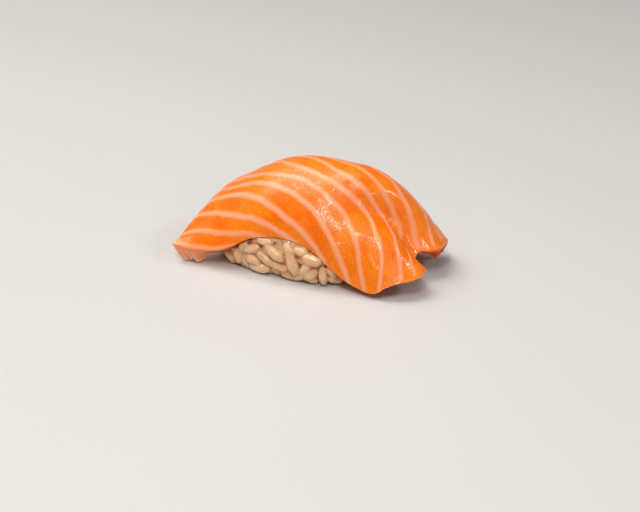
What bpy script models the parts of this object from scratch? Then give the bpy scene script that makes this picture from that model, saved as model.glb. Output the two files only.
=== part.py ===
"""Salmon nigiri: a hand-pressed ball of sushi rice with one slice of raw salmon draped over it.

Metres, +Z up, +X along the slice, -Y to the side where the rice shows. The origin is on the surface
that the piece rests on, under the middle of the whole.
"""

import math
import random

import bmesh
import bpy
import numpy as np
from mathutils import Matrix, Vector
from mathutils.bvhtree import BVHTree

MM = 0.001

RIDGE_Y = 2.0 * MM

# The slice as it lies, in millimetres, at stations along its length; reaches go out from the ridge
STATION_X = (-46, -38, -33, -24, -12, 4, 18, 28, 36, 44)
RIDGE_HEIGHT = (2, 10.5, 16.5, 22.6, 28.8, 30.5, 28.5, 21, 10.1, 1)
FRONT_REACH = (22, 22.5, 22.5, 21.5, 20, 19.5, 20, 20.5, 20.5, 20)
FRONT_EDGE_HEIGHT = (4.6, 5.2, 4.8, 5.4, 11.2, 11.6, 3.4, 1.2, 1.5, 2)
REAR_REACH = (15, 16.5, 17.5, 18, 18.5, 18.5, 18.5, 18, 17.5, 17)
REAR_EDGE_HEIGHT = (2, 5.5, 7, 10, 13, 13, 10.5, 6.5, 3.4, 1)
CROSSWISE_BEND = (10, 14, 26, 60, 78, 82, 74, 62, 40, 20)

# Where the slice was cut off at its two ends, for places across it from -1, front, to 1, rear,
# and how much further along its underside is cut off than its outer face
LEFT_END_ACROSS = (-1, -0.93, -0.8, 0, 1)
LEFT_END_X = (-38.5, -37.8, -37.3, -36, -33)
LEFT_END_SLANT = 3.0 * MM
RIGHT_END_ACROSS = (-1, -0.92, -0.87, -0.77, -0.63, -0.45, -0.3, -0.2, -0.1, 0.1, 0.3, 0.5, 0.7, 1)
RIGHT_END_X = (26, 28.6, 31.8, 35, 37.3, 38.4, 38.6, 37.2, 35.3, 35, 35.4, 35.9, 35.2, 33.5)
SLANT_ACROSS = (-1, -0.2, -0.05, 0.1, 0.35, 0.6, 1)
RIGHT_END_SLANT = (-1.6, -1.6, 0.2, 2.5, 2.4, 1.2, 0.4)

# The valley where the front of the slice folds down beside the rest, towards the right end
FOLD_START_X = 2 * MM
FOLD_END_X = 32 * MM
FOLD_ACROSS_START = -0.48
FOLD_ACROSS_END = -0.18
FOLD_DEPTH = 5.0 * MM
FOLD_WIDTH = 0.20

SLICE_THICKNESS = 5.0 * MM
RIGHT_END_THINNING = 0.25
SLICE_EDGE_ROUNDING = 1.2 * MM
SLICE_COLUMNS = 44
SLICE_ROWS = 24

# The rice ball without its outermost grains
RICE_CENTRE = Vector((-5.4, -1.6, 8.0)) * MM
RICE_TURN = math.radians(-3.5)
RICE_HALF_LENGTH = 23.0 * MM
RICE_HALF_WIDTH = 15.4 * MM
RICE_TOP = 24.8 * MM
RICE_BELOW_CENTRE = 13.0 * MM
RICE_SQUARENESS = 3.2
RICE_MERIDIANS = 32
RICE_PARALLELS = 16
RICE_TO_SLICE_GAP = 0.45 * MM
RICE_FEELERS = 8
RICE_FEELER_SPREAD = 0.17

GRAIN_LENGTH = 6.4 * MM
GRAIN_WIDTH = 3.1 * MM
GRAIN_THICKNESS = 2.7 * MM
GRAIN_SIZE_SPREAD = 0.12
GRAIN_SIDES = 5
GRAIN_RINGS = 4
GRAIN_ROW_HEIGHTS = (1.6, 4.0, 6.5, 9.0, 11.5)
GRAIN_SPACING = 5.0 * MM
GRAIN_TRIES = 14
GRAIN_SEED = 7

# The grains that show under the front edge: place along the ball, height, slant in degrees,
# length, width, and how far each stands out of the ball
SHOWN_GRAINS = (
    (-5.1, 7.9, -33, 7.4, 3.0, 0.9),
    (-8.4, 5.2, -30, 6.8, 2.8, 0.5),
    (-3.8, 3.9, -9, 6.6, 2.8, 0.6),
    (0.8, 5.8, -70, 7.2, 3.3, 0.9),
    (-12.6, 3.9, -12, 6.0, 3.0, 0.5),
    (-10.5, 1.9, 4, 7.4, 3.2, 0.6),
    (-18.2, 3.8, -84, 5.4, 2.9, 0.5),
    (-21.6, 2.4, -40, 5.2, 2.8, 0.4),
    (-13.2, 7.3, 20, 6.2, 2.9, 0.3),
    (6.9, 8.0, -8, 6.2, 3.4, 0.9),
    (4.6, 4.7, 55, 5.6, 2.6, 0.4),
    (6.4, 3.2, 42, 5.6, 2.9, 0.6),
    (9.8, 3.4, -86, 6.2, 2.7, 0.8),
    (12.0, 4.6, -62, 5.0, 2.5, 0.5),
)
SHOWN_FROM_X = -24 * MM
SHOWN_TO_X = 15 * MM


def smooth_step(value, low, high):
    share = np.clip((value - low) / (high - low), 0, 1)
    return share * share * (3 - 2 * share)


def curve_through(at, knots, values):
    """A smooth curve through the values given at the knots."""
    knots, values = np.array(knots, float), np.array(values, float)
    gaps = np.diff(knots)
    slopes = np.diff(values) / gaps
    tangents = np.concatenate([slopes[:1], slopes[:-1], slopes[-1:]])
    tangents[1:-1] = (gaps[1:] * slopes[:-1] + gaps[:-1] * slopes[1:]) / (gaps[1:] + gaps[:-1])
    k = np.clip(np.searchsorted(knots, at) - 1, 0, len(gaps) - 1)
    u = (at - knots[k]) / gaps[k]
    return (
        values[k] * (1 + 2 * u) * (1 - u) ** 2
        + gaps[k] * tangents[k] * u * (1 - u) ** 2
        + values[k + 1] * u * u * (3 - 2 * u)
        + gaps[k] * tangents[k + 1] * u * u * (u - 1)
    )


def through(x, heights):
    """The slice's station values at x, which is in metres."""
    return curve_through(x / MM, STATION_X, heights)


def section(x, across):
    """The slice's outer face without its fold, for across from -1, the front edge, to 1, the rear."""
    at_front = across < 0
    reach = np.where(at_front, through(x, FRONT_REACH), through(x, REAR_REACH)) * MM
    edge = np.where(at_front, through(x, FRONT_EDGE_HEIGHT), through(x, REAR_EDGE_HEIGHT)) * MM
    ridge = through(x, RIDGE_HEIGHT) * MM
    bend = np.radians(through(x, CROSSWISE_BEND))
    angle = bend * np.abs(across)
    y = RIDGE_Y + np.sign(across) * reach * np.sin(angle) / np.sin(bend)
    z = ridge - (ridge - edge) * (1 - np.cos(angle)) / (1 - np.cos(bend))
    return np.stack([x, y, z], -1)


def outer_face(x, across):
    """The slice's outer face, with the fold pressed in along its own normal."""
    step = 1e-4
    inner, outer = np.clip(across - step, -1, 1), np.clip(across + step, -1, 1)
    along = section(x + step * MM, across) - section(x - step * MM, across)
    sideways = section(x, outer) - section(x, inner)
    normal = np.cross(along, sideways)
    normal /= np.linalg.norm(normal, axis=-1, keepdims=True)
    valley = FOLD_ACROSS_START + (FOLD_ACROSS_END - FOLD_ACROSS_START) * smooth_step(
        x, FOLD_START_X + 10 * MM, FOLD_END_X
    )
    depth = FOLD_DEPTH * smooth_step(x, FOLD_START_X, FOLD_END_X - 4 * MM)
    depth *= np.exp(-(((across - valley) / FOLD_WIDTH) ** 2))
    return section(x, across) - depth[..., None] * normal


def finish(bm, name, material, collection):
    mesh = bpy.data.meshes.new(name)
    bm.to_mesh(mesh)
    bm.free()
    mesh.materials.append(material)
    obj = bpy.data.objects.new(name, mesh)
    collection.objects.link(obj)
    return obj


def make_material(name, colour, roughness):
    material = bpy.data.materials.new(name)
    material.use_nodes = True
    shader = material.node_tree.nodes["Principled BSDF"]
    shader.inputs["Base Color"].default_value = (*colour, 1.0)
    shader.inputs["Roughness"].default_value = roughness
    shader.inputs["Metallic"].default_value = 0.0
    return material


def sliced_point(x, across, depth):
    """A place in the slice, for depth from 0, its outer face, to 1, its underside."""
    step = 2e-4
    inner, outer = np.clip(across - step, -1, 1), np.clip(across + step, -1, 1)
    along = outer_face(x + step * MM, across) - outer_face(x - step * MM, across)
    sideways = outer_face(x, outer) - outer_face(x, inner)
    normal = np.cross(along, sideways)
    normal /= np.linalg.norm(normal, axis=-1, keepdims=True)
    # the front left corner lies on its underside, so its cut edge stands upright
    lying = 1.6 * smooth_step(-x, 27 * MM, 31 * MM) * smooth_step(-across, 0.3, 1.0)
    normal[..., 2] += lying
    normal /= np.linalg.norm(normal, axis=-1, keepdims=True)
    thinned = RIGHT_END_THINNING * smooth_step(x, 10 * MM, 36 * MM)
    return outer_face(x, across) - (depth * SLICE_THICKNESS * (1 - thinned))[..., None] * normal


def make_slice(collection):
    """A flat slab laid over the arch: each of its corners goes to its place in the slice."""
    bm = bmesh.new()
    bmesh.ops.create_grid(bm, x_segments=SLICE_COLUMNS, y_segments=SLICE_ROWS, size=1.0)
    lower = bmesh.ops.extrude_face_region(bm, geom=bm.faces[:])
    lower = [v for v in lower["geom"] if isinstance(v, bmesh.types.BMVert)]
    bmesh.ops.translate(bm, vec=(0, 0, -1), verts=lower)
    verts = list(bm.verts)
    along, across, depth = (np.array([v.co[i] for v in verts]) for i in range(3))
    depth = -depth
    left = curve_through(across, LEFT_END_ACROSS, LEFT_END_X) * MM
    left += depth * LEFT_END_SLANT * smooth_step(-across, 0.2, 0.9)
    right = curve_through(across, RIGHT_END_ACROSS, RIGHT_END_X) * MM
    right += depth * curve_through(across, SLANT_ACROSS, RIGHT_END_SLANT) * MM
    # equal steps of length over the arch, and not of x, keep the steep ends as fine as the top
    table_x = np.linspace(STATION_X[0], STATION_X[-1], 400) * MM
    table_z = through(table_x, RIDGE_HEIGHT) * MM
    run = np.concatenate([[0], np.cumsum(np.hypot(np.diff(table_x), np.diff(table_z)))])
    share = (along + 1) / 2
    length = np.interp(left, table_x, run) * (1 - share) + np.interp(right, table_x, run) * share
    x = np.interp(length, run, table_x)
    for vert, point in zip(verts, sliced_point(x, across, depth)):
        vert.co = point
    bmesh.ops.recalc_face_normals(bm, faces=bm.faces)
    flesh = make_material("salmon_flesh", (0.90, 0.27, 0.05), 0.28)
    obj = finish(bm, "salmon_slice", flesh, collection)
    ease = obj.modifiers.new("eased_edges", "BEVEL")
    ease.width = SLICE_EDGE_ROUNDING
    ease.segments = 2
    ease.limit_method = "ANGLE"
    ease.angle_limit = math.radians(50)
    return obj


def tree_of(obj):
    bpy.context.view_layer.update()
    return BVHTree.FromObject(obj, bpy.context.evaluated_depsgraph_get())


def dome_radius(direction):
    """Distance from the ball's centre to its surface: a rounded block, deeper above than below."""
    own = Matrix.Rotation(-RICE_TURN, 3, "Z") @ direction
    up = RICE_TOP - RICE_CENTRE.z if own.z > 0 else RICE_BELOW_CENTRE
    halves = (RICE_HALF_LENGTH, RICE_HALF_WIDTH, up)
    total = sum(abs(d / half) ** RICE_SQUARENESS for d, half in zip(own, halves))
    return total ** (-1 / RICE_SQUARENESS)


def core_point(direction, slice_tree):
    """The ball's surface in a direction, kept just inside the slice and flat where it rests."""
    radius = dome_radius(direction)
    sideways = direction.orthogonal().normalized()
    for turn in range(RICE_FEELERS):
        feeler = Matrix.Rotation(2 * math.pi * turn / RICE_FEELERS, 3, direction) @ sideways
        for spread in (0.0, 0.5 * RICE_FEELER_SPREAD, RICE_FEELER_SPREAD):
            hit = slice_tree.ray_cast(RICE_CENTRE, direction + spread * feeler)
            if hit[0] is not None:
                slant = max(0.35, abs(direction.dot(hit[1])))
                radius = min(radius, hit[3] - RICE_TO_SLICE_GAP / slant)
    point = RICE_CENTRE + direction * radius
    point.z = max(point.z, 0.0)
    return point


def make_core(material, collection, slice_tree):
    bm = bmesh.new()
    bmesh.ops.create_uvsphere(
        bm, u_segments=RICE_MERIDIANS, v_segments=RICE_PARALLELS, radius=1.0
    )
    for vert in bm.verts:
        vert.co = core_point(vert.co.normalized(), slice_tree)
    bmesh.ops.recalc_face_normals(bm, faces=bm.faces)
    return finish(bm, "rice_ball", material, collection)


def side_of_ball(turn, height):
    """Where the ball's side is at a height, in the direction that the angle turn gives."""
    lift = height - RICE_CENTRE.z
    up = RICE_TOP - RICE_CENTRE.z if lift > 0 else RICE_BELOW_CENTRE
    spread = (1 - abs(lift / up) ** RICE_SQUARENESS) ** (1 / RICE_SQUARENESS)
    heading = Vector((math.cos(turn), math.sin(turn), 0))
    point = RICE_CENTRE + heading * spread * dome_radius(heading)
    point.z = height
    return point


def outward(point):
    """The ball's normal at a point of its side."""
    own = Matrix.Rotation(-RICE_TURN, 3, "Z") @ (point - RICE_CENTRE)
    up = RICE_TOP - RICE_CENTRE.z if own.z > 0 else RICE_BELOW_CENTRE
    halves = (RICE_HALF_LENGTH, RICE_HALF_WIDTH, up)
    slope = Vector(
        math.copysign(abs(o / half) ** (RICE_SQUARENESS - 1) / half, o)
        for o, half in zip(own, halves)
    )
    return Matrix.Rotation(RICE_TURN, 3, "Z") @ slope.normalized()


def front_of_ball(x, height):
    """The point of the ball's front side at a place along it and a height."""
    low, high = -math.pi, 0.0
    for _ in range(30):
        turn = (low + high) / 2
        if side_of_ball(turn, height).x < x:
            low = turn
        else:
            high = turn
    return side_of_ball(turn, height)


def grain_corners(length, width, thickness):
    """A plump grain about its own centre, its length along X, with blunt ends."""
    bm = bmesh.new()
    bmesh.ops.create_uvsphere(bm, u_segments=GRAIN_SIDES, v_segments=GRAIN_RINGS, radius=0.5)
    half_turn = Matrix.Rotation(math.pi / 2, 4, "Y")
    scale = Matrix.Diagonal((length, width, thickness, 1.0))
    bmesh.ops.transform(bm, matrix=scale @ half_turn, verts=bm.verts)
    return bm


def clear_of(tree, points, gap):
    for point in points:
        near, normal, _, distance = tree.find_nearest(point)
        if distance < gap or (point - near).dot(normal) < 0:
            return False
    return True


def lay_grain(side, slant, lean, size, stand_out, slice_tree):
    """A grain lying on the ball's side, or nothing where it would meet the slice or the table."""
    normal = outward(side)
    level = Vector((0, 0, 1)).cross(normal).normalized()
    upward = normal.cross(level)
    axis = level * math.cos(slant) + upward * math.sin(slant) + normal * lean
    axis.normalize()
    broad = normal.cross(axis).normalized()
    thin = axis.cross(broad)
    base = core_point((side - RICE_CENTRE).normalized(), slice_tree)
    bm = grain_corners(*size)
    turned = Matrix((axis, broad, thin)).transposed().to_4x4()
    placed = Matrix.Translation(base + normal * stand_out) @ turned
    bmesh.ops.transform(bm, matrix=placed, verts=bm.verts)
    points = [v.co for v in bm.verts]
    if min(p.z for p in points) < 0.02 * MM or not clear_of(
        slice_tree, points, RICE_TO_SLICE_GAP
    ):
        bm.free()
        return None
    bmesh.ops.recalc_face_normals(bm, faces=bm.faces)
    return bm


def make_grains(material, collection, slice_tree):
    """The grains that show, then the others in rows round the ball's sides."""
    for number, (x, height, slant, length, width, stand_out) in enumerate(SHOWN_GRAINS):
        side = front_of_ball(x * MM, height * MM)
        size = (length * MM, width * MM, 0.9 * width * MM)
        for sunk in range(6):
            raised = (stand_out - 0.25 * sunk) * MM
            bm = lay_grain(side, math.radians(slant), 0.0, size, raised, slice_tree)
            if bm:
                finish(bm, f"shown_grain_{number}", material, collection)
                break
    draw = random.Random(GRAIN_SEED)
    for row, height in enumerate(GRAIN_ROW_HEIGHTS):
        count = round(2 * math.pi * 18 * MM / GRAIN_SPACING)
        for place in range(count):
            for _ in range(GRAIN_TRIES):
                turn = 2 * math.pi * (place + 0.5 * (row % 2) + draw.uniform(-0.3, 0.3)) / count
                side = side_of_ball(turn, height * MM + draw.uniform(-0.6, 0.6) * MM)
                slant = draw.gauss(0, math.radians(38))
                lean = draw.uniform(-0.25, 0.25)
                scale = 1 + draw.uniform(-GRAIN_SIZE_SPREAD, GRAIN_SIZE_SPREAD)
                size = (scale * GRAIN_LENGTH, scale * GRAIN_WIDTH, scale * GRAIN_THICKNESS)
                stand_out = draw.uniform(0.2, 0.7) * MM
                if outward(side).y < -0.6 and SHOWN_FROM_X < side.x < SHOWN_TO_X:
                    stand_out -= 1.0 * MM
                bm = lay_grain(side, slant, lean, size, stand_out, slice_tree)
                if bm:
                    finish(bm, f"grain_{row}_{place}", material, collection)
                    break


def keep_outer_shell(mesh):
    """Drops what a union leaves beside the body itself: sealed hollows and loose scraps."""
    bm = bmesh.new()
    bm.from_mesh(mesh)
    left, shells = set(bm.verts), []
    while left:
        front = [left.pop()]
        shell = list(front)
        while front:
            near = {e.other_vert(v) for v in front for e in v.link_edges} & left
            left -= near
            front = list(near)
            shell += front
        shells.append(shell)
    body = max(shells, key=len)
    for shell in shells:
        if shell is not body:
            bmesh.ops.delete(bm, geom=shell, context="VERTS")
    bm.to_mesh(mesh)
    bm.free()


def fuse(core, grains):
    """Joins the grains to the ball, and leaves the ball alone in the scene."""
    join = core.modifiers.new("grains", "BOOLEAN")
    join.operation = "UNION"
    join.operand_type = "COLLECTION"
    join.collection = grains
    join.solver = "EXACT"
    graph = bpy.context.evaluated_depsgraph_get()
    fused = bpy.data.meshes.new_from_object(core.evaluated_get(graph))
    core.modifiers.remove(join)
    core.data = fused
    for grain in list(grains.objects):
        bpy.data.objects.remove(grain)
    bpy.data.collections.remove(grains)
    keep_outer_shell(fused)


def main():
    for obj in list(bpy.data.objects):
        bpy.data.objects.remove(obj)
    nigiri = bpy.data.collections.new("salmon_nigiri")
    grains = bpy.data.collections.new("grains")
    for collection in (nigiri, grains):
        bpy.context.scene.collection.children.link(collection)
    slice_tree = tree_of(make_slice(nigiri))
    cooked = make_material("cooked_rice", (0.78, 0.66, 0.52), 0.35)
    core = make_core(cooked, nigiri, slice_tree)
    make_grains(cooked, grains, slice_tree)
    fuse(core, grains)


main()
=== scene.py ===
import math
import random

import bmesh
import bpy
import numpy as np
from mathutils import Matrix, Vector
from mathutils.bvhtree import BVHTree
from mathutils.kdtree import KDTree


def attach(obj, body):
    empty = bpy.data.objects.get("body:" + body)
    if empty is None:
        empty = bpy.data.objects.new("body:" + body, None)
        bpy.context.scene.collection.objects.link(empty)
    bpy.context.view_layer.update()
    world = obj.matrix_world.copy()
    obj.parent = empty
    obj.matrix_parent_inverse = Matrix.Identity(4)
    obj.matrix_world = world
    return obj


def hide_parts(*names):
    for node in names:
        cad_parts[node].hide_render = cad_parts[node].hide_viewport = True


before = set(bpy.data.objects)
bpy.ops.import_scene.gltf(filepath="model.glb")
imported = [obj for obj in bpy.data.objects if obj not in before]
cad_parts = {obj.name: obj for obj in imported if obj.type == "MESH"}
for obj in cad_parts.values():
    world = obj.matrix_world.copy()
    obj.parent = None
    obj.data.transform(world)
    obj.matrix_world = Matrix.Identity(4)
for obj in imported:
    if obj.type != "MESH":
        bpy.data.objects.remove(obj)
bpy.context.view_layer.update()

# The ball of rice: short-grain rice, cooked, seasoned and pressed in the hand to a rounded
# block. Its grains are plump and moist, glassy with a chalkier middle, and stick to each
# other in one skin. It fits close under the fish, which holds by its own stickiness.
MM = 0.001
RICE_CENTRE = Vector((-5.4, -1.6, 8.0)) * MM
RICE_TURN = math.radians(-3.5)
RICE_HALF_LENGTH = 23.0 * MM
RICE_HALF_WIDTH = 15.4 * MM
RICE_TOP = 24.8 * MM
RICE_BELOW_CENTRE = 13.0 * MM
RICE_SQUARENESS = 3.2
RICE_TO_SLICE_GAP = 0.25 * MM
RICE_TO_FLOOR_GAP = 0.15 * MM
HEART_DEPTH = 0.7 * MM
HEART_LUMPS = 0.35 * MM
GRAIN_LENGTH = 6.4 * MM
GRAIN_WIDTH = 3.1 * MM
GRAIN_THICKNESS = 2.7 * MM
GRAIN_SPACING = 4.2 * MM
GRAIN_TO_FLOOR_GAP = 0.1 * MM
GRAIN_LIFT_AT_MOST = 0.6 * MM
GRAIN_NEAREST_FLOOR = 0.02 * MM
GRAIN_ROW_HEIGHTS = (1.6, 3.4, 5.2, 7.0, 8.8, 10.6, 12.4, 14.2)
ROW_RADIUS = 18 * MM
GRAIN_SEED = 7
SHOWN_FROM_X = -24 * MM
SHOWN_TO_X = 15 * MM
SKIN_FINENESS = 0.18 * MM
SKIN_SHARE_KEPT = 0.36
GLASSY_DEEP = (0.68, 0.38, 0.19)
GLASSY_PALE = (0.80, 0.485, 0.26)
CHALKY_COLOUR = (0.86, 0.575, 0.335)
# the grains that show at the front: place along the ball and height in mm, slant in degrees,
# length and width in mm, and how far the grain stands out
SHOWN_GRAINS = (
    (-5.1, 7.9, -33, 7.6, 3.0, 0.9),
    (-8.4, 5.2, -30, 6.8, 2.8, 0.5),
    (-3.8, 3.9, -9, 6.6, 2.8, 0.6),
    (0.8, 5.8, -70, 7.4, 3.3, 0.9),
    (-12.6, 3.9, -12, 6.0, 3.0, 0.5),
    (-10.5, 1.9, 4, 7.6, 3.2, 0.6),
    (-18.2, 3.8, -84, 5.2, 2.9, 0.5),
    (-21.6, 2.4, -40, 5.0, 2.8, 0.4),
    (-13.2, 7.3, 20, 6.2, 2.9, 0.3),
    (6.9, 8.0, -8, 6.2, 3.4, 0.9),
    (4.6, 4.7, 55, 5.6, 2.6, 0.4),
    (6.4, 3.2, 42, 5.6, 2.9, 0.6),
    (9.8, 3.4, -86, 6.2, 2.7, 0.8),
    (12.0, 4.6, -62, 4.6, 2.5, 0.5),
    (12.8, 1.8, -14, 5.0, 2.5, 0.2),
    (-1.0, 1.6, -10, 5.0, 2.7, 0.4),
    (2.4, 1.5, 20, 4.8, 2.6, 0.3),
    (6.2, 1.5, -26, 4.6, 2.6, 0.2),
    (-16.2, 7.4, 60, 5.4, 2.7, 0.2),
    (-0.4, 9.6, -50, 5.0, 2.7, 0.2),
    (3.4, 9.7, -12, 5.0, 2.7, 0.1),
    (-8.6, 10.6, -6, 5.4, 2.8, 0.3),
    (-15.6, 1.6, -55, 4.6, 2.6, 0.1),
)

fish_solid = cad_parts["salmon_slice"]
bpy.context.view_layer.update()
fish_tree = BVHTree.FromObject(fish_solid, bpy.context.evaluated_depsgraph_get())


def dome_radius(direction):
    """From the ball's centre to its surface: a rounded block, deeper above than below."""
    own = Matrix.Rotation(-RICE_TURN, 3, "Z") @ direction
    up = RICE_TOP - RICE_CENTRE.z if own.z > 0 else RICE_BELOW_CENTRE
    halves = (RICE_HALF_LENGTH, RICE_HALF_WIDTH, up)
    total = sum(abs(d / half) ** RICE_SQUARENESS for d, half in zip(own, halves))
    return total ** (-1 / RICE_SQUARENESS)


def outward(point):
    """The ball's normal at a point of its side."""
    own = Matrix.Rotation(-RICE_TURN, 3, "Z") @ (point - RICE_CENTRE)
    up = RICE_TOP - RICE_CENTRE.z if own.z > 0 else RICE_BELOW_CENTRE
    halves = (RICE_HALF_LENGTH, RICE_HALF_WIDTH, up)
    slope = Vector(
        math.copysign(abs(o / half) ** (RICE_SQUARENESS - 1) / half, o)
        for o, half in zip(own, halves)
    )
    return Matrix.Rotation(RICE_TURN, 3, "Z") @ slope.normalized()


class Wire:
    """A value in a material's nodes. Python's operators on it add Math nodes."""

    def __init__(self, tree, socket=None):
        self.tree = tree
        self.socket = socket

    def feed(self, inlet, value):
        if isinstance(value, Wire):
            self.tree.links.new(value.socket, inlet)
        else:
            inlet.default_value = value

    def node(self, kind, settings=None, feeds=None, out=0):
        made = self.tree.nodes.new(kind)
        for name, value in (settings or {}).items():
            setattr(made, name, value)
        for place, value in (feeds or {}).items():
            self.feed(made.inputs[place], value)
        return Wire(self.tree, made.outputs[out])

    def maths(self, operation, *values):
        return self.node("ShaderNodeMath", {"operation": operation}, dict(enumerate(values)))

    def __add__(self, other):
        return self.maths("ADD", self, other)

    def __radd__(self, other):
        return self.maths("ADD", other, self)

    def __sub__(self, other):
        return self.maths("SUBTRACT", self, other)

    def __rsub__(self, other):
        return self.maths("SUBTRACT", other, self)

    def __mul__(self, other):
        return self.maths("MULTIPLY", self, other)

    def __rmul__(self, other):
        return self.maths("MULTIPLY", other, self)

    def smooth(self, low, high):
        """0 below low, 1 above high, and an even curve between them."""
        return self.node(
            "ShaderNodeMapRange",
            {"interpolation_type": "SMOOTHSTEP"},
            {0: self, 1: low, 2: high, 3: 0.0, 4: 1.0},
        )

    def tint(self, from_colour, to_colour):
        """From one colour to the other as this value goes from 0 to 1."""
        ends = {0: self}
        for place, colour in ((6, from_colour), (7, to_colour)):
            ends[place] = colour if isinstance(colour, Wire) else (*colour, 1.0)
        return self.node("ShaderNodeMix", {"data_type": "RGBA"}, ends, out=2)

    def noise(self, scale, detail=2.0, stretch=(1.0, 1.0, 1.0), where=None):
        """Cloudy noise from 0 to 1, its grains per metre given by scale."""
        if where is None:
            where = self.node("ShaderNodeTexCoord", out=3)
        place = self.node("ShaderNodeMapping", feeds={0: where, 3: stretch})
        feeds = {"Vector": place, "Scale": scale, "Detail": detail}
        return self.node("ShaderNodeTexNoise", feeds=feeds)

    def attribute(self, name):
        return self.node("ShaderNodeAttribute", {"attribute_name": name}, out=2)


def new_material(name, constants):
    material = bpy.data.materials.new(name)
    material.use_nodes = True
    shader = material.node_tree.nodes["Principled BSDF"]
    for socket, value in constants.items():
        shader.inputs[socket].default_value = value
    return material, Wire(material.node_tree), shader


rice_finish, rice, rice_shader = new_material(
    "cooked_rice",
    {
        "IOR": 1.45,
        "Subsurface Weight": 0.7,
        "Subsurface Radius": (1.0, 0.8, 0.6),
        "Subsurface Scale": 0.0018,
        "Coat Roughness": 0.08,
        "Coat IOR": 1.5,
    },
)
tone = rice.attribute("grain_tone")
along = rice.attribute("grain_along")
clouds = rice.noise(700.0, 3.0)
chalk = (1 - along.smooth(0.3, 1.1)) * (0.3 + 0.6 * tone) + 0.4 * (clouds - 0.5)
glassy = tone.tint(GLASSY_DEEP, GLASSY_PALE)
chalky = chalk.smooth(0.0, 0.9).tint(glassy, CHALKY_COLOUR)
rice.feed(rice_shader.inputs["Base Color"], chalky)
rice.feed(rice_shader.inputs["Roughness"], 0.16 + 0.2 * clouds)
moisture = rice.noise(900.0, 2.0).smooth(0.45, 0.6)
rice.feed(rice_shader.inputs["Coat Weight"], 0.3 + 0.6 * moisture)
dimples = 0.6 * rice.noise(900.0, 3.0) + 0.4 * rice.noise(2600.0, 2.0)
relief = rice.node(
    "ShaderNodeBump", feeds={"Strength": 0.5, "Distance": 0.0003, "Height": dimples}
)
rice.feed(rice_shader.inputs["Normal"], relief)

# the heart of the ball, which the grains sit on, a little lumpy where it shows between them
bpy.ops.object.select_all(action="DESELECT")
bpy.ops.mesh.primitive_uv_sphere_add(segments=96, ring_count=48, radius=1.0)
heart = bpy.context.object
heart.name = heart.data.name = "rice_heart"
for vert in heart.data.vertices:
    direction = vert.co.normalized()
    lumps = math.sin(direction.x * 31) * math.sin(direction.y * 27 + 1)
    lumps *= math.sin(direction.z * 29)
    radius = dome_radius(direction) - HEART_DEPTH + HEART_LUMPS * lumps
    vert.co = RICE_CENTRE + direction * radius
    vert.co.z = max(vert.co.z, RICE_TO_FLOOR_GAP)


def side_of_ball(turn, height):
    """Where the ball's side is at a height, in the direction that the angle turn gives."""
    lift = height - RICE_CENTRE.z
    up = RICE_TOP - RICE_CENTRE.z if lift > 0 else RICE_BELOW_CENTRE
    spread = (1 - abs(lift / up) ** RICE_SQUARENESS) ** (1 / RICE_SQUARENESS)
    heading = Vector((math.cos(turn), math.sin(turn), 0))
    point = RICE_CENTRE + heading * spread * dome_radius(heading)
    point.z = height
    return point


def front_of_ball(x, height):
    """The point of the ball's front side at a place along it and a height."""
    low, high = -math.pi, 0.0
    for _ in range(30):
        turn = (low + high) / 2
        if side_of_ball(turn, height).x < x:
            low = turn
        else:
            high = turn
    return side_of_ball(turn, height)


def under_fish(point, gap):
    """The point, drawn in towards the ball's centre where the slice presses on it."""
    direction = point - RICE_CENTRE
    reach = direction.length
    direction.normalize()
    above = fish_tree.ray_cast(RICE_CENTRE, direction)
    if above[0] is not None:
        slant = max(0.35, abs(direction.dot(above[1])))
        reach = min(reach, above[3] - gap / slant)
    point = RICE_CENTRE + direction * reach
    near, _, _, distance = fish_tree.find_nearest(point)
    if distance < gap:
        point += (point - near).normalized() * (gap - distance)
    return point


# one grain, a unit long, which every other is copied from
bpy.ops.object.select_all(action="DESELECT")
bpy.ops.mesh.primitive_uv_sphere_add(segments=12, ring_count=10, radius=0.5)
kernel = bpy.context.object
kernel.rotation_euler = (0, math.pi / 2, 0)
bpy.ops.object.transform_apply(location=False, rotation=True, scale=False)
kernel_points = np.array([v.co for v in kernel.data.vertices])
# blunt ends, a belly on one side, and the small nick where the germ was
out_to = np.clip(np.abs(2 * kernel_points[:, 0]), 0, 1)
thick = np.hypot(kernel_points[:, 1], kernel_points[:, 2]) * 2
kernel_points[:, 0] = np.sign(kernel_points[:, 0]) * 0.5 * out_to**0.8
kernel_points[:, 1:] *= (np.maximum(thick, 1e-6) ** -0.22)[:, None]
kernel_points[:, 1:] *= 1 + 0.12 * kernel_points[:, :1]
nick = np.exp(-(((kernel_points[:, 0] - 0.40) / 0.1) ** 2))
nick *= np.exp(-(((kernel_points[:, 1] + 0.4) / 0.25) ** 2))
kernel_points[:, 1] += 0.10 * nick

grains = bmesh.new()
laid_grains = []
draw = random.Random(GRAIN_SEED)


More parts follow.
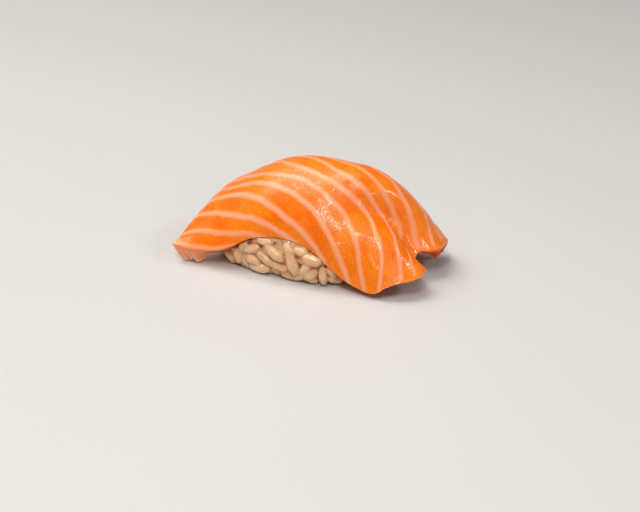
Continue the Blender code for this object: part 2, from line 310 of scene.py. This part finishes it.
def lay_grain(base, normal, slant, lean, length, width, thickness, stand_out):
    """Lays one grain on the ball's side, unless it would run into the fish or the floor."""
    level = Vector((0, 0, 1)).cross(normal).normalized()
    upward = normal.cross(level)
    axis = level * math.cos(slant) + upward * math.sin(slant) + normal * lean
    axis.normalize()
    broad = normal.cross(axis).normalized()
    thin = axis.cross(broad)
    turned = np.array(Matrix((axis, broad, thin)).transposed())
    flip = (1 if draw.random() < 0.5 else -1, 1 if draw.random() < 0.5 else -1, 1)
    points = kernel_points * flip
    points[:, 1] += draw.uniform(-0.35, 0.35) * (points[:, 0] ** 2 - 0.08)
    points[:, 2] += draw.uniform(-0.35, 0.10) * (points[:, 0] ** 2 - 0.08)
    swelling = draw.uniform(-0.10, 0.10)
    swell = 1 + swelling * np.sin(points[:, 0] * draw.uniform(4, 9) + draw.uniform(0, 6))
    points[:, 1:] *= swell[:, None]
    points = points * np.array((length, width, thickness))
    points = points @ turned.T + np.array(base + normal * stand_out)
    sunk = GRAIN_TO_FLOOR_GAP - points[:, 2].min()
    if sunk > 0:
        points[:, 2] += min(sunk, GRAIN_LIFT_AT_MOST)
    middle = Vector(points.mean(0))
    near, facing, _, _ = fish_tree.find_nearest(middle)
    if points[:, 2].min() < GRAIN_NEAREST_FLOOR or (middle - near).dot(facing) < 0:
        return False
    before = len(grains.verts)
    grains.from_mesh(kernel.data)
    grains.verts.ensure_lookup_table()
    laid_grains.append((middle, length / 2, draw.random()))
    for vert, point in zip(grains.verts[before:], points):
        vert.co = point
    return True


for x, height, slant, length, width, stand_out in SHOWN_GRAINS:
    base = front_of_ball(x * MM, height * MM)
    normal = outward(base)
    for sink in range(8):
        if lay_grain(
            base,
            normal,
            math.radians(slant),
            0.0,
            length * MM,
            width * MM,
            0.9 * width * MM,
            (stand_out - 0.2 * sink) * MM,
        ):
            break

for row, height in enumerate(GRAIN_ROW_HEIGHTS):
    count = round(2 * math.pi * ROW_RADIUS / GRAIN_SPACING)
    for place in range(count):
        for attempt in range(12):
            turn = 2 * math.pi * (place + 0.5 * (row % 2) + draw.uniform(-0.3, 0.3)) / count
            base = side_of_ball(turn, height * MM + draw.uniform(-0.7, 0.7) * MM)
            normal = outward(base)
            # behind the grains that show, the others only fill the gaps
            at_front = normal.y < -0.6 and SHOWN_FROM_X < base.x < SHOWN_TO_X
            stand_out = draw.uniform(-1.3, -0.7) if at_front else draw.uniform(0.1, 0.7)
            if lay_grain(
                base,
                normal,
                draw.gauss(0, math.radians(38)),
                draw.uniform(-0.25, 0.25),
                GRAIN_LENGTH * draw.uniform(0.85, 1.12),
                GRAIN_WIDTH * draw.uniform(0.9, 1.08),
                GRAIN_THICKNESS * draw.uniform(0.9, 1.08),
                (stand_out - 0.08 * attempt) * MM,
            ):
                break

bpy.data.objects.remove(kernel)
grain_mesh = bpy.data.meshes.new("rice_grains")
grains.to_mesh(grain_mesh)
grains.free()
nearest_grain = KDTree(len(grain_mesh.vertices))
for index, vert in enumerate(grain_mesh.vertices):
    nearest_grain.insert(vert.co, index // len(kernel_points))
nearest_grain.balance()

# the grains stick to the heart and to each other: one moist skin, softened where they meet
strewn = bpy.data.objects.new("rice_grains", grain_mesh)
bpy.context.scene.collection.objects.link(strewn)
bpy.ops.object.select_all(action="DESELECT")
strewn.select_set(True)
heart.select_set(True)
bpy.context.view_layer.objects.active = heart
bpy.ops.object.join()
heart.data.remesh_voxel_size = SKIN_FINENESS
heart.data.remesh_voxel_adaptivity = 0.0
bpy.ops.object.voxel_remesh()
softened = heart.modifiers.new("softened", "SMOOTH")
softened.factor = 0.5
softened.iterations = 2
bpy.ops.object.modifier_apply(modifier=softened.name)
thinned = heart.modifiers.new("thinned", "DECIMATE")
thinned.ratio = SKIN_SHARE_KEPT
bpy.ops.object.modifier_apply(modifier=thinned.name)
skin = heart.data
skin.name = heart.name = "pressed_rice"
# each place takes its grain's own tone, and how far it is from the grain's middle to its tip
tone_of_skin, along_of_skin = [], []
for vert in skin.vertices:
    vert.co = under_fish(vert.co, RICE_TO_SLICE_GAP)
    vert.co.z = max(vert.co.z, RICE_TO_FLOOR_GAP)
    middle, half_length, shade = laid_grains[nearest_grain.find(vert.co)[1]]
    tone_of_skin.append(shade)
    along_of_skin.append((vert.co - middle).length / half_length)
for name, values in (("grain_tone", tone_of_skin), ("grain_along", along_of_skin)):
    layer = skin.attributes.new(name, "FLOAT", "POINT")
    layer.data.foreach_set("value", values)
bpy.ops.object.shade_smooth()
skin.materials.append(rice_finish)
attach(heart, "root")
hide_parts("rice_ball")

# The topping: one slice of raw salmon, cut on the slant from the side of the fish, laid over
# the rice and stroked down round it. The pale lines are sheets of fat between the muscle
# layers, and run right through the slice.
RIDGE_Y = 2.0 * MM
# places along the slice in mm, and at each the height of its ridge, how far each side reaches
# out and the height of its edge, all in mm, and how far it bends across, in degrees
STATION_X = (-46, -38, -33, -24, -12, 4, 18, 28, 36, 44)
RIDGE_HEIGHT = (2, 10.5, 16.5, 22.6, 28.8, 30.5, 28.5, 21, 10.1, 1)
FRONT_REACH = (22, 22.5, 22.5, 21.5, 20, 19.5, 20, 20.5, 20.5, 20)
FRONT_EDGE_HEIGHT = (4.6, 5.2, 4.8, 5.4, 11.2, 11.6, 3.4, 1.2, 1.5, 2)
REAR_REACH = (15, 16.5, 17.5, 18, 18.5, 18.5, 18.5, 18, 17.5, 17)
REAR_EDGE_HEIGHT = (2, 5.5, 7, 10, 13, 13, 10.5, 6.5, 3.4, 1)
CROSSWISE_BEND = (10, 14, 26, 60, 78, 82, 74, 62, 40, 20)
# across the left end, and how far along the slice it reaches there, in mm
LEFT_END_ACROSS = (-1, -0.93, -0.8, 0, 1)
LEFT_END_X = (-38.5, -37.8, -37.3, -36, -33)
LEFT_END_SLANT = 3.0 * MM
# across the right end, and how far along the slice it reaches there, in mm
RIGHT_END = (
    (-1, 25.2),
    (-0.985, 27),
    (-0.965, 28.2),
    (-0.93, 29.4),
    (-0.87, 31.7),
    (-0.77, 34.9),
    (-0.63, 37.2),
    (-0.45, 38.4),
    (-0.34, 38.7),
    (-0.29, 37.7),
    (-0.25, 35.8),
    (-0.18, 35.9),
    (-0.06, 35.5),
    (0, 36.2),
    (0.1, 36.8),
    (0.3, 36.7),
    (0.5, 36.3),
    (0.7, 35.2),
    (1, 33.5),
)
SLANT_ACROSS = (-1, -0.2, -0.05, 0.1, 0.35, 0.6, 1)
RIGHT_END_SLANT = (-1.6, -1.6, 0, 1.0, 1.2, 1.0, 0.4)
FOLD_START_X = 2 * MM
FOLD_END_X = 32 * MM
FOLD_ACROSS_START = -0.48
FOLD_ACROSS_END = -0.18
FOLD_DEPTH = 5.0 * MM
FOLD_WIDTH = 0.20
SLICE_THICKNESS = 5.0 * MM
RIGHT_END_THINNING = 0.25
SLICE_EDGE_ROUNDING = 1.7 * MM
FLAT_LENGTH = 92 * MM
FLAT_WIDTH = 52 * MM
ACROSS_TO_MM = 28.0
SLICE_TO_FLOOR_GAP = 0.1 * MM
FAT_STANDS_OUT = 0.10 * MM
UNEVENNESS = 0.07 * MM
NOSE_RISE = 1.7 * MM
TAG_X = -30.2 * MM
TAG_LENGTH = 0.9 * MM
NOTCH_X = -31.7 * MM
NOTCH_HEIGHT = 1.3 * MM
TAG_AND_NOTCH_WIDTH = 0.6 * MM
FLESH_DEEP = (0.92, 0.138, 0.0003)
FLESH_BRIGHT = (1.0, 0.205, 0.0006)
FIBRE_COLOUR = (1.0, 0.22, 0.006)
# painted glints: golden specks put into the flesh's colour in place of the moist gloss
PAINTED_GLINT_COLOUR = (1.0, 0.33, 0.03)
# painted shade: the darker colour of the cut face at the right end
CUT_FACE_SHADE_COLOUR = (0.60, 0.055, 0.0004)
BESIDE_FAT_COLOUR = (1.0, 0.26, 0.02)
FAT_COLOUR = (1.0, 0.40, 0.22)
BELLY_FAT_COLOUR = (1.0, 0.61, 0.43)
# the sheets of fat: width in mm, paleness, then the way each runs: mm along the slice from
# its top, and across it from -1, the front edge, to 1, the rear edge
FAT_LINES = (
    (
        1.4, 0.75, (-54, -1.03), (-45, -0.99), (-41, -0.97), (-36, -0.97), (-28, -0.98),
        (-20, -1.0), (-12, -1.08),
    ),
    (
        1.5, 0.75, (-54, -0.78), (-44, -0.82), (-36, -0.81), (-27, -0.83), (-23, -0.85),
        (-19, -0.89), (-12, -0.97), (-4, -1.07),
    ),
    (
        1.6, 0.95, (-54, -0.42), (-42, -0.54), (-36, -0.6), (-31, -0.62), (-25, -0.65),
        (-20, -0.71), (-16, -0.77), (-9, -0.86), (-3, -0.94), (5, -1.05),
    ),
    (
        1.75, 1.0, (-54, -0.28), (-39, -0.4), (-34, -0.41), (-27, -0.42), (-22, -0.46),
        (-17, -0.54), (-12, -0.62), (-7, -0.7), (-2, -0.79), (5, -0.9), (14, -1.05),
    ),
    (
        1.65, 0.9, (-54, -0.1), (-30, -0.27), (-20, -0.35), (-13, -0.42), (-6, -0.49),
        (0, -0.57), (6, -0.66), (11, -0.77), (15, -0.86), (20, -1.02), (22, -1.1),
    ),
    (
        1.6, 0.8, (-54, 0.06), (-30, -0.12), (-20, -0.22), (-12, -0.29), (-2, -0.36),
        (5, -0.43), (11, -0.5), (16, -0.6), (20, -0.73), (23, -0.89), (26, -1.05),
    ),
    (
        1.7, 0.85, (-54, 0.24), (-30, 0.1), (-16, 0.0), (-8, -0.14), (0, -0.23), (8, -0.3),
        (15, -0.37), (21, -0.42), (25, -0.53), (28, -0.62), (30.5, -0.77), (31.5, -1.05),
    ),
    (
        1.7, 0.8, (-54, 0.4), (-30, 0.28), (-12, 0.13), (-2, 0.02), (5, -0.1), (12, -0.19),
        (18, -0.24), (24, -0.26), (28, -0.26), (31, -0.38), (34, -0.51), (39, -0.71),
        (43, -0.9),
    ),
    (
        1.7, 0.7, (-54, 0.56), (-26, 0.43), (-4, 0.22), (8, 0.06), (16, -0.04), (22, -0.09),
        (30, -0.12), (35, -0.15), (38, -0.3), (41, -0.48), (48, -0.7),
    ),
    (
        1.8, 0.7, (-54, 0.72), (-22, 0.6), (2, 0.36), (14, 0.2), (22, 0.16), (27, 0.08),
        (33, 0.03), (39, -0.03), (52, -0.2),
    ),
    (
        1.6, 0.75, (-54, 0.88), (-20, 0.76), (4, 0.58), (20, 0.44), (28, 0.36), (35, 0.3),
        (40, 0.19), (52, -0.06),
    ),
    (
        1.5, 0.7, (-54, 1.06), (-14, 0.9), (8, 0.76), (26, 0.62), (38, 0.46), (52, 0.2),
    ),
    (
        1.5, 0.8, (-20, 1.14), (10, 0.94), (28, 0.8), (40, 0.66), (52, 0.48),
    ),
    (
        1.5, 0.8, (6, 1.14), (30, 0.97), (40, 0.87), (52, 0.74),
    ),
)


def smooth_step(value, low, high):
    share = np.clip((value - low) / (high - low), 0, 1)
    return share * share * (3 - 2 * share)


def curve_through(at, knots, values):
    """A smooth curve through the values given at the knots."""
    knots, values = np.array(knots, float), np.array(values, float)
    gaps = np.diff(knots)
    slopes = np.diff(values) / gaps
    tangents = np.concatenate([slopes[:1], slopes[:-1], slopes[-1:]])
    tangents[1:-1] = (gaps[1:] * slopes[:-1] + gaps[:-1] * slopes[1:]) / (gaps[1:] + gaps[:-1])
    k = np.clip(np.searchsorted(knots, at) - 1, 0, len(gaps) - 1)
    u = (at - knots[k]) / gaps[k]
    return (
        values[k] * (1 + 2 * u) * (1 - u) ** 2
        + gaps[k] * tangents[k] * u * (1 - u) ** 2
        + values[k + 1] * u * u * (3 - 2 * u)
        + gaps[k] * tangents[k + 1] * u * u * (u - 1)
    )


def through(x, heights):
    """The slice's station values at x, which is in metres."""
    return curve_through(x / MM, STATION_X, heights)


def section(x, across):
    """The slice's outer face without its fold; across is -1 at the front edge, 1 at the rear."""
    at_front = across < 0
    reach = np.where(at_front, through(x, FRONT_REACH), through(x, REAR_REACH)) * MM
    edge = np.where(at_front, through(x, FRONT_EDGE_HEIGHT), through(x, REAR_EDGE_HEIGHT))
    edge = edge * MM
    ridge = through(x, RIDGE_HEIGHT) * MM
    bend = np.radians(through(x, CROSSWISE_BEND))
    angle = bend * np.abs(across)
    y = RIDGE_Y + np.sign(across) * reach * np.sin(angle) / np.sin(bend)
    z = ridge - (ridge - edge) * (1 - np.cos(angle)) / (1 - np.cos(bend))
    return np.stack([x, y, z], -1)


def normals_of(face, x, across, step):
    inner, outer = np.clip(across - step, -1, 1), np.clip(across + step, -1, 1)
    along = face(x + step * MM, across) - face(x - step * MM, across)
    sideways = face(x, outer) - face(x, inner)
    normal = np.cross(along, sideways)
    return normal / np.linalg.norm(normal, axis=-1, keepdims=True)


def outer_face(x, across):
    """The slice's outer face, with the fold pressed in along its own normal."""
    normal = normals_of(section, x, across, 1e-4)
    valley = FOLD_ACROSS_START + (FOLD_ACROSS_END - FOLD_ACROSS_START) * smooth_step(
        x, FOLD_START_X + 10 * MM, FOLD_END_X
    )
    depth = FOLD_DEPTH * smooth_step(x, FOLD_START_X, FOLD_END_X - 4 * MM)
    depth *= np.exp(-(((across - valley) / FOLD_WIDTH) ** 2))
    return section(x, across) - depth[..., None] * normal


def sliced_point(x, across, depth, relief):
    """A place in the slice, for depth from 0, its outer face, to 1, its underside."""
    normal = normals_of(outer_face, x, across, 2e-4)
    # the front left corner lies on its underside, so its cut edge stands upright
    lying = 1.6 * smooth_step(-x, 27 * MM, 31 * MM) * smooth_step(-across, 0.3, 1.0)
    normal[..., 2] += lying
    normal /= np.linalg.norm(normal, axis=-1, keepdims=True)
    thinned = RIGHT_END_THINNING * smooth_step(x, 10 * MM, 36 * MM)
    inward = depth * SLICE_THICKNESS * (1 - thinned) - relief * (1 - depth)
    return outer_face(x, across) - inward[..., None] * normal


# a flat slab with eased edges, which is then draped
bpy.ops.object.select_all(action="DESELECT")
bpy.ops.mesh.primitive_grid_add(x_subdivisions=270, y_subdivisions=140, size=1.0)
fish = bpy.context.object
fish.name = fish.data.name = "salmon_topping"
fish.scale = (FLAT_LENGTH, FLAT_WIDTH, 1.0)
bpy.ops.object.transform_apply(location=False, rotation=False, scale=True)
bpy.ops.object.mode_set(mode="EDIT")
bpy.ops.mesh.select_all(action="SELECT")
bpy.ops.mesh.extrude_region_move(TRANSFORM_OT_translate={"value": (0, 0, -SLICE_THICKNESS)})
bpy.ops.mesh.select_all(action="SELECT")
bpy.ops.mesh.normals_make_consistent(inside=False)
bpy.ops.object.mode_set(mode="OBJECT")
eased = fish.modifiers.new("eased_edges", "BEVEL")
eased.width = SLICE_EDGE_ROUNDING
eased.segments = 5
eased.limit_method = "ANGLE"
eased.angle_limit = math.radians(60)
bpy.ops.object.modifier_apply(modifier=eased.name)

flat = np.array([v.co for v in fish.data.vertices])
share = np.clip(flat[:, 0] / FLAT_LENGTH + 0.5, 0, 1)
across = np.clip(flat[:, 1] / FLAT_WIDTH * 2, -1, 1)
depth = np.clip(-flat[:, 2] / SLICE_THICKNESS, 0, 1)
left = curve_through(across, LEFT_END_ACROSS, LEFT_END_X) * MM
left += depth * LEFT_END_SLANT * smooth_step(-across, 0.2, 0.9)
right = curve_through(across, *zip(*RIGHT_END)) * MM
right += depth * curve_through(across, SLANT_ACROSS, RIGHT_END_SLANT) * MM
ridge_x = np.linspace(STATION_X[0], STATION_X[-1], 400) * MM
ridge_z = through(ridge_x, RIDGE_HEIGHT) * MM
run = np.concatenate([[0], np.cumsum(np.hypot(np.diff(ridge_x), np.diff(ridge_z)))])
length = np.interp(left, ridge_x, run) * (1 - share) + np.interp(right, ridge_x, run) * share
x = np.interp(length, run, ridge_x)
s = (length - np.interp(0.0, ridge_x, run)) / MM

# each place's order among the sheets of fat: whole numbers on the sheets, and between two of
# them the share of the way; and how far along the sheets it is
wander = 0.10 * np.sin(s / 2.9 + 4 * across) + 0.07 * np.sin(s / 1.3 - 9 * across + 2)
places = np.stack([s + wander, across * ACROSS_TO_MM + 0.8 * wander + 1.2 * depth], -1)
gaps_to, runs_along, beyond = [], [], []
for _, _, *way in FAT_LINES:
    way = np.array(way, float) * (1.0, ACROSS_TO_MM)
    steps = np.linspace(0, len(way) - 1, 70)
    before = np.clip(steps.astype(int), 0, len(way) - 2)
    u = (steps - before)[:, None]
    padded = np.concatenate([[2 * way[0] - way[1]], way, [2 * way[-1] - way[-2]]])
    p0, p1, p2, p3 = (padded[before + k] for k in range(4))
    curve = 0.5 * (
        2 * p1
        + (p2 - p0) * u
        + (2 * p0 - 5 * p1 + 4 * p2 - p3) * u**2
        + (3 * p1 - p0 - 3 * p2 + p3) * u**3
    )
    nearest = np.full(len(flat), 1e9)
    along_way = np.zeros(len(flat))
    rear_side = np.zeros(len(flat), bool)
    gone = 0.0
    for a, b in zip(curve[:-1], curve[1:]):
        leg = b - a
        reach = math.hypot(*leg)
        t = np.clip(((places - a) @ leg) / reach**2, 0, 1)
        gap = places - a - t[:, None] * leg
        squared = gap[:, 0] ** 2 + gap[:, 1] ** 2
        nearer = squared < nearest
        nearest[nearer] = squared[nearer]
        along_way[nearer] = gone + t[nearer] * reach
        turned = leg[0] * (places[:, 1] - a[1]) - leg[1] * (places[:, 0] - a[0])
        rear_side[nearer] = turned[nearer] > 0
        gone += reach
    gaps_to.append(np.sqrt(nearest))
    runs_along.append(along_way)
    beyond.append(rear_side)
gaps_to, runs_along, beyond = np.array(gaps_to), np.array(runs_along), np.array(beyond)
last = len(FAT_LINES) - 1
lower = np.where(beyond.any(0), last - np.argmax(beyond[::-1], 0), -1)
upper = np.minimum(lower + 1, last)
everyone = np.arange(len(flat))
from_lower = np.where(lower < 0, 9.0, gaps_to[np.maximum(lower, 0), everyone])
from_upper = np.where(lower == last, 9.0, gaps_to[upper, everyone])
spacing = from_lower + from_upper
way_over = from_lower / spacing
fat_order = lower + way_over
nearest_line = np.where(way_over < 0.5, np.maximum(lower, 0), upper)
widths = np.array([line[0] for line in FAT_LINES])[nearest_line]
fat_half_width = widths / 2 / spacing
fat_paleness = np.array([line[1] for line in FAT_LINES])[nearest_line]
on_cut_edge = smooth_step(-across, 0.96, 0.99) * smooth_step(-s, 20, 25)
fat_paleness *= 1 - on_cut_edge * smooth_step(depth, 0.05, 0.18)
fat_run = (1 - way_over) * runs_along[np.maximum(lower, 0), everyone]
fat_run += way_over * runs_along[upper, everyone]
fat_distance = np.minimum(from_lower, from_upper) / (widths / 2)

# the fat stands proud of the flesh, which is a little uneven
relief = FAT_STANDS_OUT * np.exp(-((fat_distance / 1.1) ** 2))
relief += UNEVENNESS * np.sin(s / 2.3 + 5 * across) * np.sin(across * 9 - s / 7)
draped = sliced_point(x, across, depth, relief)
# the nose of the front lobe flares up a little beside the fold
flare = smooth_step(x, 32 * MM, 38.5 * MM) * np.exp(-(((across + 0.36) / 0.13) ** 2))
draped[:, 2] += NOSE_RISE * flare
# the ragged front left corner, with a small tag and a notch, and the belly fat on its cut edge
corner = smooth_step(-x, 27 * MM, 30 * MM) * smooth_step(-across, 0.93, 1.0)
tag = np.exp(-(((x - TAG_X) / TAG_AND_NOTCH_WIDTH) ** 2)) * corner * smooth_step(depth, 0.7, 1.0)
notch = np.exp(-(((x - NOTCH_X) / TAG_AND_NOTCH_WIDTH) ** 2)) * corner
notch *= smooth_step(depth, 0.4, 1.0)
ragged_cut = (0.30 * np.sin(2.1 * s) + 0.22 * np.sin(4.7 * s + 1)) * MM
draped[:, 1] -= corner * depth * ragged_cut + tag * TAG_LENGTH
draped[:, 2] += notch * NOTCH_HEIGHT
pink_rim = smooth_step(depth, 0.50, 0.60) * smooth_step(-across, 0.9, 0.98)
pink_rim *= smooth_step(-s, 28, 31)
pink_rim = np.maximum(pink_rim * (0.75 + 0.25 * np.sin(1.3 * s + 2)), tag)
# the cut face at the right end, on which no fat shows; the material paints its deeper part
# darker, as painted shade
end_gap = (1 - share) * (np.interp(right, ridge_x, run) - np.interp(left, ridge_x, run)) / MM
band = np.interp(across, (-1, -0.8, -0.45, -0.3, 0, 1), (0.2, 1.2, 1.6, 0.8, 0.8, 1.0))
raw_end = 1 - smooth_step(end_gap, band, band + 0.6)
draped[:, 2] = np.maximum(draped[:, 2], SLICE_TO_FLOOR_GAP)
for vert, point in zip(fish.data.vertices, draped):
    vert.co = point
for name, values in (
    ("fat_order", fat_order),
    ("fat_half_width", fat_half_width),
    ("fat_paleness", fat_paleness),
    ("cut_depth", depth),
    ("pink_rim", pink_rim),
    ("raw_end", raw_end),
):
    layer = fish.data.attributes.new(name, "FLOAT", "POINT")
    layer.data.foreach_set("value", values.astype(np.float32))
flat_map = fish.data.uv_layers.active
# u runs along the sheets of fat in centimetres, and v from each sheet to the next
loop_verts = np.empty(len(fish.data.loops), int)
fish.data.loops.foreach_get("vertex_index", loop_verts)
lengthwise = np.stack([fat_run / 10, fat_order], -1)
flat_map.data.foreach_set("uv", lengthwise[loop_verts].astype(np.float32).ravel())
bpy.ops.object.shade_smooth()

fish_finish, flesh, flesh_shader = new_material(
    "raw_salmon",
    {
        "IOR": 1.40,
        "Specular IOR Level": 0.32,
        "Subsurface Weight": 0.35,
        "Subsurface Radius": (1.0, 0.35, 0.08),
        "Subsurface Scale": 0.0016,
        "Coat Roughness": 0.13,
        "Coat IOR": 1.5,
    },
)
order = flesh.attribute("fat_order")
off_centre = flesh.maths("ABSOLUTE", order - flesh.maths("ROUND", order))
distance = flesh.maths("DIVIDE", off_centre, flesh.attribute("fat_half_width"))
clouds = flesh.noise(650.0, 3.0)
ragged = distance + 0.5 * (clouds - 0.5)
raw_end = flesh.attribute("raw_end")
sheet = (1 - ragged.smooth(0.25, 1.5)) * flesh.attribute("fat_paleness") * (1 - raw_end)
pink = flesh.attribute("pink_rim") * (0.6 + 0.6 * clouds)
halo = (1 - distance.smooth(0.7, 2.4)) * 0.2 * (1 - raw_end)
patches = flesh.noise(110.0, 2.0)
lean = patches.smooth(0.3, 0.7).tint(FLESH_DEEP, FLESH_BRIGHT)
streak_place = flesh.node("ShaderNodeUVMap", {"uv_map": flat_map.name})
fibres = flesh.noise(6.0, 3.0, (4.0, 0.7, 1.0), streak_place)
lean = (fibres.smooth(0.40, 0.66) * 0.7).tint(lean, FIBRE_COLOUR)
specks = flesh.noise(1900.0, 4.0)
# golden specks painted into the flesh's colour in patches: painted glints of the moist gloss,
# not a colour of the flesh
painted_glints = specks.smooth(0.48, 0.60) * patches.smooth(0.38, 0.56)
lean = (painted_glints * 0.55).tint(lean, PAINTED_GLINT_COLOUR)
# the right end's cut face is painted darker further in: painted shade, where it faces down and
# away from the lamps
cut_face_painted_shade = raw_end * flesh.attribute("cut_depth").smooth(0.02, 0.5)
lean = cut_face_painted_shade.tint(lean, CUT_FACE_SHADE_COLOUR)
haloed = halo.tint(lean, BESIDE_FAT_COLOUR)
marbled = sheet.tint(haloed, FAT_COLOUR)
flesh.feed(flesh_shader.inputs["Base Color"], pink.tint(marbled, BELLY_FAT_COLOUR))
flesh.feed(flesh_shader.inputs["Roughness"], 0.17 + 0.14 * fibres + 0.3 * cut_face_painted_shade)
fine_fibres = flesh.noise(15.0, 2.0, (4.0, 0.7, 1.0), streak_place)
wet = (0.7 * specks + 0.3 * fine_fibres).smooth(0.48, 0.56) * patches.smooth(0.32, 0.50)
flesh.feed(flesh_shader.inputs["Coat Weight"], 0.02 + 0.6 * wet * (1 - cut_face_painted_shade))
grain = 0.55 * specks + 0.3 * fibres + 0.15 * flesh.noise(4200.0, 2.0)
pores = flesh.node(
    "ShaderNodeBump", feeds={"Strength": 0.7, "Distance": 0.0003, "Height": grain}
)
flesh.feed(flesh_shader.inputs["Normal"], pores)
fish.data.materials.append(fish_finish)
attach(fish, "root")
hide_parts("salmon_slice")

# The studio: a plain pale floor, a broad soft lamp high on the left, small softboxes in front
# and on the right for the moist gloss, and the camera, which looks down on it at a slant.
FLOOR_SIZE = 3.0
FLOOR_COLOUR = (0.57, 0.56, 0.55)
FLOOR_COLOUR_PALER = (0.59, 0.58, 0.57)
LAMPS_AIM_AT = Vector((0, 0, 0.012))
CAMERA_LOOKS_AT = Vector((-0.0005, 0.002, 0.0))
CAMERA_AZIMUTH = math.radians(27)
CAMERA_ELEVATION = math.radians(24)
CAMERA_DISTANCE = 0.480
CAMERA_LENS = 90.2
SKY_COLOUR = (1.0, 0.985, 0.965, 1.0)
SKY_STRENGTH = 0.10
bpy.ops.object.select_all(action="DESELECT")
bpy.ops.mesh.primitive_plane_add(size=FLOOR_SIZE, location=(0, 0, 0))
floor = bpy.context.object
floor.name = "floor"
floor_finish, ground, ground_shader = new_material("pale_floor", {"Roughness": 0.6})
faint = ground.noise(8.0).tint(FLOOR_COLOUR, FLOOR_COLOUR_PALER)
ground.feed(ground_shader.inputs["Base Color"], faint)
floor.data.materials.append(floor_finish)

world = bpy.data.worlds.new("studio")
bpy.context.scene.world = world
world.use_nodes = True
sky = world.node_tree.nodes["Background"]
sky.inputs[0].default_value = SKY_COLOUR
sky.inputs[1].default_value = SKY_STRENGTH


def soft_lamp(name, place, size, power, colour):
    """A square softbox that faces the piece."""
    lamp = bpy.data.lights.new(name, "AREA")
    lamp.size = size
    lamp.energy = power
    lamp.color = colour
    stand = bpy.data.objects.new(name, lamp)
    stand.location = place
    aim = LAMPS_AIM_AT - Vector(place)
    stand.rotation_euler = aim.to_track_quat("-Z", "Y").to_euler()
    bpy.context.scene.collection.objects.link(stand)


soft_lamp("main", (-0.34, 0.02, 0.66), 0.60, 5.9, (1.0, 0.985, 0.95))
soft_lamp("key", (0.135, -0.35, 0.455), 0.12, 0.90, (1.0, 0.985, 0.96))
soft_lamp("high_key", (0.06, -0.27, 0.55), 0.10, 0.48, (1.0, 0.985, 0.96))
soft_lamp("front", (0.02, -0.50, 0.26), 0.04, 0.10, (1.0, 0.985, 0.96))
soft_lamp("right", (0.46, -0.28, 0.28), 0.06, 0.32, (1.0, 0.99, 0.97))
soft_lamp("rear_right", (0.44, 0.14, 0.38), 0.10, 0.6, (1.0, 0.99, 0.97))

back = Vector(
    (
        math.sin(CAMERA_AZIMUTH) * math.cos(CAMERA_ELEVATION),
        -math.cos(CAMERA_AZIMUTH) * math.cos(CAMERA_ELEVATION),
        math.sin(CAMERA_ELEVATION),
    )
)
lens = bpy.data.cameras.new("camera")
lens.sensor_width = 36.0
lens.lens = CAMERA_LENS
lens.clip_start = 0.02
camera = bpy.data.objects.new("camera", lens)
camera.location = CAMERA_LOOKS_AT + back * CAMERA_DISTANCE
camera.rotation_euler = back.to_track_quat("Z", "Y").to_euler()
bpy.context.scene.collection.objects.link(camera)
bpy.context.scene.camera = camera
bpy.context.scene.view_settings.view_transform = "Standard"
